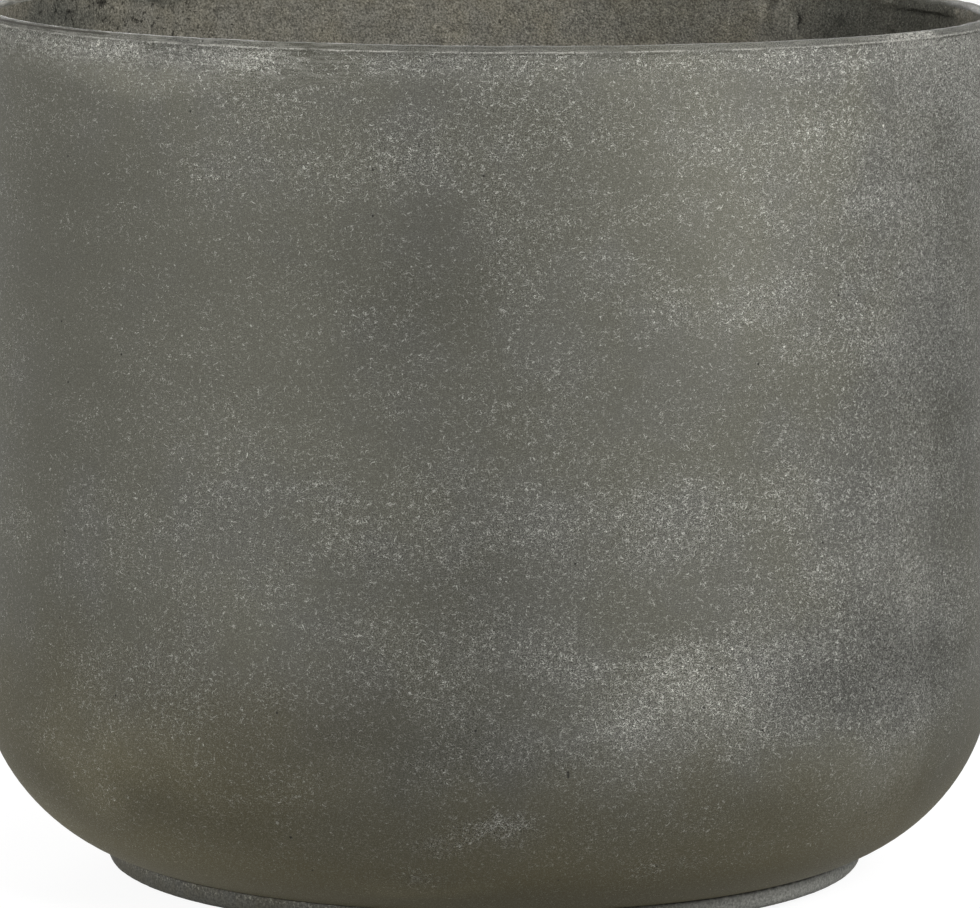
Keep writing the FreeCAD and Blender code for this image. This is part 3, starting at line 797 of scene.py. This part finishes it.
draw_line(trail, 0.0, flange_top - flange_dish, parts=3)
turn_profile(plug, trail, steps=96)

tab_half = 0.0090
tab_thickness = 0.0050
tab_round = 0.0012
tab_root = 0.0020
sharp_edge = math.radians(60)
crown = plug_high.z - tab_half
bpy.ops.object.select_all(action="DESELECT")
bpy.ops.mesh.primitive_circle_add(
    vertices=64, radius=tab_half, fill_type="NGON", location=(0, 0, crown), rotation=(math.pi / 2, 0, 0)
)
tab = bpy.context.object
bpy.ops.object.transform_apply(location=True, rotation=True, scale=True)
bpy.ops.object.mode_set(mode="EDIT")
bpy.ops.mesh.select_all(action="SELECT")
bpy.ops.mesh.bisect(plane_co=(0, 0, crown), plane_no=(0, 0, 1), clear_inner=True)
bpy.ops.object.mode_set(mode="OBJECT")


def pick(piece, points=None, faces=None):
    """Selects a piece's points or faces by a test of their place, and goes on in edit mode."""
    bpy.ops.object.mode_set(mode="EDIT")
    bpy.ops.mesh.select_all(action="DESELECT")
    bpy.ops.mesh.select_mode(type="VERT" if points else "FACE")
    bpy.ops.object.mode_set(mode="OBJECT")
    if points:
        for point in piece.data.vertices:
            point.select = points(point.co)
    else:
        for face in piece.data.polygons:
            face.select = faces(face.center, face.normal)
    bpy.ops.object.mode_set(mode="EDIT")


pick(tab, points=lambda place: abs(place.z - crown) < same_point)
root_drop = crown - (flange_top - tab_root)
bpy.ops.mesh.extrude_region_move(TRANSFORM_OT_translate={"value": (0, 0, -root_drop)})
bpy.ops.mesh.select_all(action="SELECT")
bpy.ops.mesh.extrude_region_move(TRANSFORM_OT_translate={"value": (0, tab_thickness, 0)})
bpy.ops.mesh.select_all(action="SELECT")
bpy.ops.transform.translate(value=(0, -tab_thickness / 2, 0))
bpy.ops.mesh.normals_make_consistent(inside=False)
bpy.ops.mesh.select_mode(type="EDGE")
bpy.ops.mesh.select_all(action="DESELECT")
bpy.ops.mesh.edges_select_sharp(sharpness=sharp_edge)
bpy.ops.mesh.bevel(offset=tab_round, segments=4, affect="EDGES")
rib_half = 0.0006
rib_half_width = 0.0056
rib_rise = 0.0005
rib_round = 0.0002
rib_heights = (crown - 0.0035, crown - 0.0005, crown + 0.0025)
for side in (-rib_half_width, rib_half_width):
    bpy.ops.mesh.select_all(action="SELECT")
    bpy.ops.mesh.bisect(plane_co=(side, 0, 0), plane_no=(1, 0, 0))
for height in rib_heights:
    for edge in (-rib_half, rib_half):
        bpy.ops.mesh.select_all(action="SELECT")
        bpy.ops.mesh.bisect(plane_co=(0, 0, height + edge), plane_no=(0, 0, 1))
pick(
    tab,
    faces=lambda place, normal: abs(normal.y) > 0.99
    and abs(place.x) < rib_half_width
    and min(abs(place.z - height) for height in rib_heights) < rib_half,
)
bpy.ops.mesh.extrude_region_shrink_fatten(TRANSFORM_OT_shrink_fatten={"value": rib_rise})
bpy.ops.mesh.select_mode(type="EDGE")
bpy.ops.mesh.select_all(action="DESELECT")
bpy.ops.mesh.edges_select_sharp(sharpness=sharp_edge)
bpy.ops.mesh.bevel(offset=rib_round, segments=2, affect="EDGES")
bpy.ops.object.mode_set(mode="OBJECT")

bpy.ops.object.select_all(action="DESELECT")
plug.select_set(True)
bpy.context.view_layer.objects.active = plug
weld = plug.modifiers.new("moulded together", "BOOLEAN")
weld.operation = "UNION"
weld.solver = "EXACT"
weld.object = tab
bpy.ops.object.modifier_apply(modifier=weld.name)
bpy.data.objects.remove(tab)

black_rubber, tree, shader = start_finish("black_rubber")
place = object_place(tree)
rubber_black = (0.020, 0.020, 0.021, 1)
dust_grey = (0.085, 0.080, 0.068, 1)
normal = put(tree, "ShaderNodeNewGeometry").outputs["Normal"]
facing_up = put(tree, "ShaderNodeSeparateXYZ", {0: normal}).outputs[2]
dust = ramp(tree, clouds(tree, place, 0.0045, 4.0, 0.65), 0.42, 0.68)
dust = times(tree, dust, ramp(tree, facing_up, 0.1, 0.9, 0.08, 0.55))
colour = colours(tree, dust, rubber_black, dust_grey)
pebble = clouds(tree, place, 0.0006, 2.0)
colour = shade(tree, colour, ramp(tree, pebble, 0.3, 0.7, 0.85, 1.15))
end_finish(tree, shader, colour, pebble, strength=0.3, depth=0.0001)
tree.links.new(ramp(tree, dust, 0.0, 0.5, 0.46, 0.80), shader.inputs["Roughness"])
plug.data.materials.append(black_rubber)
bpy.ops.object.shade_smooth_by_angle(angle=math.radians(35))
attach(plug, "plug")
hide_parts("drain_plug")


# The floor pads. Three discs of matt rubber with a hollowed sole, cut from a sheet with an adhesive back
# and pressed on under the foot ring, one at the front and two behind.
pad_low, pad_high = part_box("floor_pad_front")
pad_slack = 0.0001
pad_radius = (pad_high.x - pad_low.x) / 2 - pad_slack
pad_place = (pad_low + pad_high) / 2
pad_round = 0.0008
sole_border = 0.0030
sole_hollow = 0.0005
sole_ring = 0.0035
sole_boss = 0.0004
bpy.ops.object.select_all(action="DESELECT")
bpy.ops.mesh.primitive_cylinder_add(
    vertices=72, radius=pad_radius, depth=pad_high.z - pad_low.z, location=pad_place
)
pad = bpy.context.object
bpy.ops.object.transform_apply(location=True, rotation=True, scale=True)
pick(pad, points=lambda place: place.z < pad_place.z)
bpy.ops.mesh.bevel(offset=pad_round, segments=4, affect="EDGES")
pick(pad, faces=lambda place, normal: normal.z < -0.99)
bpy.ops.mesh.inset(thickness=sole_border)
bpy.ops.mesh.inset(thickness=sole_hollow, depth=-sole_hollow)
bpy.ops.mesh.inset(thickness=sole_ring)
bpy.ops.mesh.inset(thickness=sole_boss, depth=sole_boss)
bpy.ops.mesh.select_all(action="SELECT")
bpy.ops.mesh.normals_make_consistent(inside=False)
bpy.ops.object.mode_set(mode="OBJECT")
bpy.ops.object.shade_smooth_by_angle(angle=math.radians(35))

matt_rubber, tree, shader = start_finish("matt_rubber")
place = object_place(tree)
pebble = clouds(tree, place, 0.0008, 3.0, 0.6)
grit = ramp(tree, clouds(tree, place, 0.0022, 4.0, 0.7), 0.52, 0.70, 0.0, 0.5)
pad_black = (0.028, 0.028, 0.028, 1)
grit_grey = (0.095, 0.090, 0.078, 1)
colour = colours(tree, grit, pad_black, grit_grey)
colour = shade(tree, colour, ramp(tree, pebble, 0.3, 0.7, 0.8, 1.2))
end_finish(tree, shader, colour, pebble, strength=0.5, depth=0.0002)
tree.links.new(ramp(tree, grit, 0.0, 0.5, 0.72, 0.92), shader.inputs["Roughness"])
pad.data.materials.append(matt_rubber)
for spot in ("back_right", "back_left", "front"):
    low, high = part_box("floor_pad_" + spot)
    bpy.ops.object.select_all(action="DESELECT")
    pad.select_set(True)
    bpy.context.view_layer.objects.active = pad
    if spot != "front":
        bpy.ops.object.duplicate()
    piece = bpy.context.object
    piece.name = "rubber_pad_" + spot
    piece.data.name = piece.name
    bpy.ops.object.mode_set(mode="EDIT")
    bpy.ops.mesh.select_all(action="SELECT")
    bpy.ops.transform.translate(value=(low + high) / 2 - pad_place)
    bpy.ops.object.mode_set(mode="OBJECT")
    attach(piece, "pot")
    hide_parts("floor_pad_" + spot)


# The studio: a broad grey floor and four soft boxes, the strongest at the right of the front.
# To the camera the floor and the air above it are white, and the floor keeps a faint shadow.
white = (1, 1, 1, 1)
floor_grey = (0.18, 0.18, 0.18, 1)
shadow_grey = (0.15, 0.15, 0.15, 1)
air_grey = (0.32, 0.32, 0.32, 1)
paper_glow = 0.92


def seen_rays(tree):
    """1 for rays from the camera, direct, mirrored or through glass, and 0 for rays of stray light."""
    rays = put(tree, "ShaderNodeLightPath").outputs
    seen = work(tree, "MAXIMUM", rays["Is Camera Ray"], rays["Is Glossy Ray"])
    return work(tree, "MAXIMUM", seen, rays["Is Transmission Ray"])


bpy.ops.object.select_all(action="DESELECT")
bpy.ops.mesh.primitive_plane_add(size=60)
studio_floor = bpy.context.object
studio_floor.name = "studio_floor"
paper, tree, shader = start_finish("white_paper")
seen = seen_rays(tree)
tree.links.new(colours(tree, seen, floor_grey, shadow_grey), shader.inputs["Base Color"])
shader.inputs["Roughness"].default_value = 1.0
shader.inputs["Specular IOR Level"].default_value = 0.0
glow = put(tree, "ShaderNodeEmission", {"Color": white, "Strength": times(tree, seen, paper_glow)})
both = put(tree, "ShaderNodeAddShader", {0: shader.outputs[0], 1: glow.outputs[0]})
tree.links.new(both.outputs[0], tree.nodes["Material Output"].inputs["Surface"])
studio_floor.data.materials.append(paper)

world = bpy.data.worlds.new("studio_air")
bpy.context.scene.world = world
world.use_nodes = True
tree = world.node_tree
seen = seen_rays(tree)
air = tree.nodes["Background"]
tree.links.new(colours(tree, seen, air_grey, white), air.inputs["Color"])


def soft_box(name, place, aim, width, power):
    """A square area lamp that looks at a point."""
    lamp = bpy.data.lights.new(name, "AREA")
    lamp.size = width
    lamp.energy = power
    box = bpy.data.objects.new(name, lamp)
    bpy.context.scene.collection.objects.link(box)
    box.location = place
    box.rotation_euler = (Vector(aim) - Vector(place)).to_track_quat("-Z", "Y").to_euler()


pot_middle = (0, 0, 0.22)
pot_mouth = (0, 0, 0.3)
soft_box("key_box", (1.75, -2.25, 1.75), pot_middle, width=1.2, power=90)
soft_box("fill_box", (-2.4, -1.5, 0.62), pot_middle, width=0.9, power=36)
soft_box("top_box", (0.5, 0.0, 2.8), pot_mouth, width=1.6, power=10)
soft_box("back_box", (-0.4, 2.9, 0.8), pot_middle, width=1.2, power=62)

camera_dip = math.radians(7.8974)
camera_turn = 0.00565
eye = bpy.data.cameras.new("photo_camera")
eye.sensor_width = 36
eye.lens = 239.59
camera = bpy.data.objects.new("photo_camera", eye)
bpy.context.scene.collection.objects.link(camera)
camera.location = (0.0016, -3.2056, 0.6499)
camera.rotation_mode = "ZYX"
camera.rotation_euler = (math.pi / 2 - camera_dip, 0, camera_turn)
bpy.context.scene.camera = camera
bpy.context.scene.view_settings.view_transform = "Standard"
